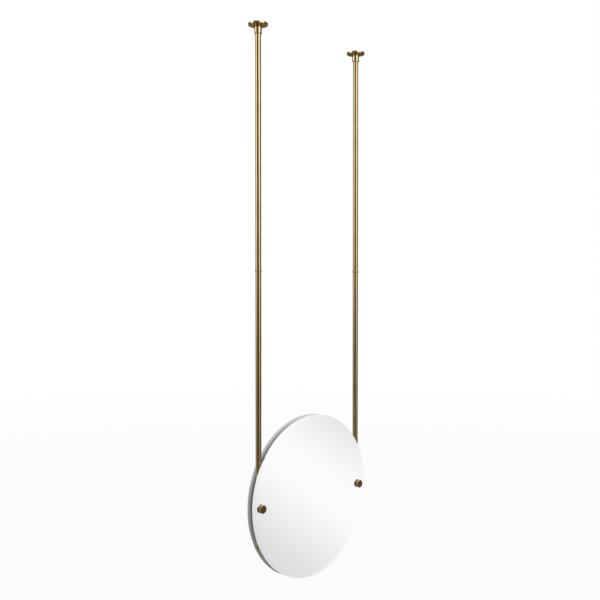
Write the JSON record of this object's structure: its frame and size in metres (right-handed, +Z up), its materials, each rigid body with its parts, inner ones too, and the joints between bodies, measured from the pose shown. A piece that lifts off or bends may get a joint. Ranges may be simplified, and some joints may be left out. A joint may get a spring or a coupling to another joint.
{
  "type": "ceiling-hung mirror",
  "caption": "Round frameless mirror, bevelled and silvered on both sides, clamped to slim brass posts that hang from round ceiling flanges.",
  "frame": {"origin": "on the ceiling plane, midway between the two posts and at the centre of the ceiling screws", "axes": "+Z up, out of the ceiling plates; +X from the left post to the right post as seen from the front; the front mirror faces -Y"},
  "size_m": [0.5587, 0.0644, 1.851],
  "materials": {
    "polished_brass": "polished, lightly aged and lacquered",
    "plain_brass": "as turned",
    "zinc_steel": "zinc plated",
    "mirror_glass": "silvered float glass, polished bevel and edge",
    "backing_film": "grey protective paint and film",
    "clear_vinyl": "soft, translucent"
  },
  "bodies": {
    "posts_and_mirrors": {"front_mirror": "mirror_glass", "front_backing": "backing_film", "rear_mirror": "mirror_glass", "rear_backing": "backing_film", "left_ceiling_plate": "zinc_steel", "left_ceiling_stud": "zinc_steel", "left_top_plug": "plain_brass", "left_upper_tube": "polished_brass", "left_upper_joint_plug": "plain_brass", "left_joint_ring": "polished_brass", "left_joint_stud": "zinc_steel", "left_lower_joint_plug": "plain_brass", "left_lower_tube": "polished_brass", "left_foot_cap": "polished_brass", "left_clamp_stud": "zinc_steel", "right_ceiling_plate": "zinc_steel", "right_ceiling_stud": "zinc_steel", "right_top_plug": "plain_brass", "right_upper_tube": "polished_brass", "right_upper_joint_plug": "plain_brass", "right_joint_ring": "polished_brass", "right_joint_stud": "zinc_steel", "right_lower_joint_plug": "plain_brass", "right_lower_tube": "polished_brass", "right_foot_cap": "polished_brass", "right_clamp_stud": "zinc_steel", "front_left_grommet": "clear_vinyl", "front_right_grommet": "clear_vinyl", "rear_left_grommet": "clear_vinyl", "rear_right_grommet": "clear_vinyl"},
    "left_flange": {"left_flange": "polished_brass"},
    "left_set_screw": {"left_set_screw": "zinc_steel"},
    "right_flange": {"right_flange": "polished_brass"},
    "right_set_screw": {"right_set_screw": "zinc_steel"},
    "front_left_washer": {"front_left_washer": "clear_vinyl"},
    "front_left_knob": {"front_left_knob": "polished_brass"},
    "front_right_washer": {"front_right_washer": "clear_vinyl"},
    "front_right_knob": {"front_right_knob": "polished_brass"},
    "rear_left_washer": {"rear_left_washer": "clear_vinyl"},
    "rear_left_knob": {"rear_left_knob": "polished_brass"},
    "rear_right_washer": {"rear_right_washer": "clear_vinyl"},
    "rear_right_knob": {"rear_right_knob": "polished_brass"}
  },
  "joints": [
    {"name": "left_flange_slide", "type": "slide", "parent": "posts_and_mirrors", "child": "left_flange", "axis": [0, 0, -1], "range_m": [0, 0.759]},
    {"name": "left_set_screw_turn", "type": "hinge", "parent": "left_flange", "child": "left_set_screw", "pos_m": [-0.2413, 0.0108, -0.02415], "axis": [0, 1, 0], "range_deg": [0, 360]},
    {"name": "right_flange_slide", "type": "slide", "parent": "posts_and_mirrors", "child": "right_flange", "axis": [0, 0, -1], "range_m": [0, 0.759]},
    {"name": "right_set_screw_turn", "type": "hinge", "parent": "right_flange", "child": "right_set_screw", "pos_m": [0.2413, 0.0108, -0.02415], "axis": [0, 1, 0], "range_deg": [0, 360]},
    {"name": "front_left_knob_travel", "type": "slide", "parent": "posts_and_mirrors", "child": "front_left_washer", "axis": [0, -1, 0], "range_m": [0, 0.00635]},
    {"name": "front_left_knob_turn", "type": "hinge", "parent": "front_left_washer", "child": "front_left_knob", "pos_m": [-0.2413, -0.02, -1.5716], "axis": [0, -1, 0], "range_deg": [0, 1800]},
    {"name": "front_right_knob_travel", "type": "slide", "parent": "posts_and_mirrors", "child": "front_right_washer", "axis": [0, -1, 0], "range_m": [0, 0.00635]},
    {"name": "front_right_knob_turn", "type": "hinge", "parent": "front_right_washer", "child": "front_right_knob", "pos_m": [0.2413, -0.02, -1.5716], "axis": [0, -1, 0], "range_deg": [0, 1800]},
    {"name": "rear_left_knob_travel", "type": "slide", "parent": "posts_and_mirrors", "child": "rear_left_washer", "axis": [0, 1, 0], "range_m": [0, 0.00635]},
    {"name": "rear_left_knob_turn", "type": "hinge", "parent": "rear_left_washer", "child": "rear_left_knob", "pos_m": [-0.2413, 0.02, -1.5716], "axis": [0, 1, 0], "range_deg": [0, 1800]},
    {"name": "rear_right_knob_travel", "type": "slide", "parent": "posts_and_mirrors", "child": "rear_right_washer", "axis": [0, 1, 0], "range_m": [0, 0.00635]},
    {"name": "rear_right_knob_turn", "type": "hinge", "parent": "rear_right_washer", "child": "rear_right_knob", "pos_m": [0.2413, 0.02, -1.5716], "axis": [0, 1, 0], "range_deg": [0, 1800]}
  ],
  "couplings": [
    {"joint": "front_left_knob_turn", "follows": "front_left_knob_travel", "rad_per_m": 4947.4},
    {"joint": "front_right_knob_turn", "follows": "front_right_knob_travel", "rad_per_m": 4947.4},
    {"joint": "rear_left_knob_turn", "follows": "rear_left_knob_travel", "rad_per_m": 4947.4},
    {"joint": "rear_right_knob_turn", "follows": "rear_right_knob_travel", "rad_per_m": 4947.4}
  ]
}
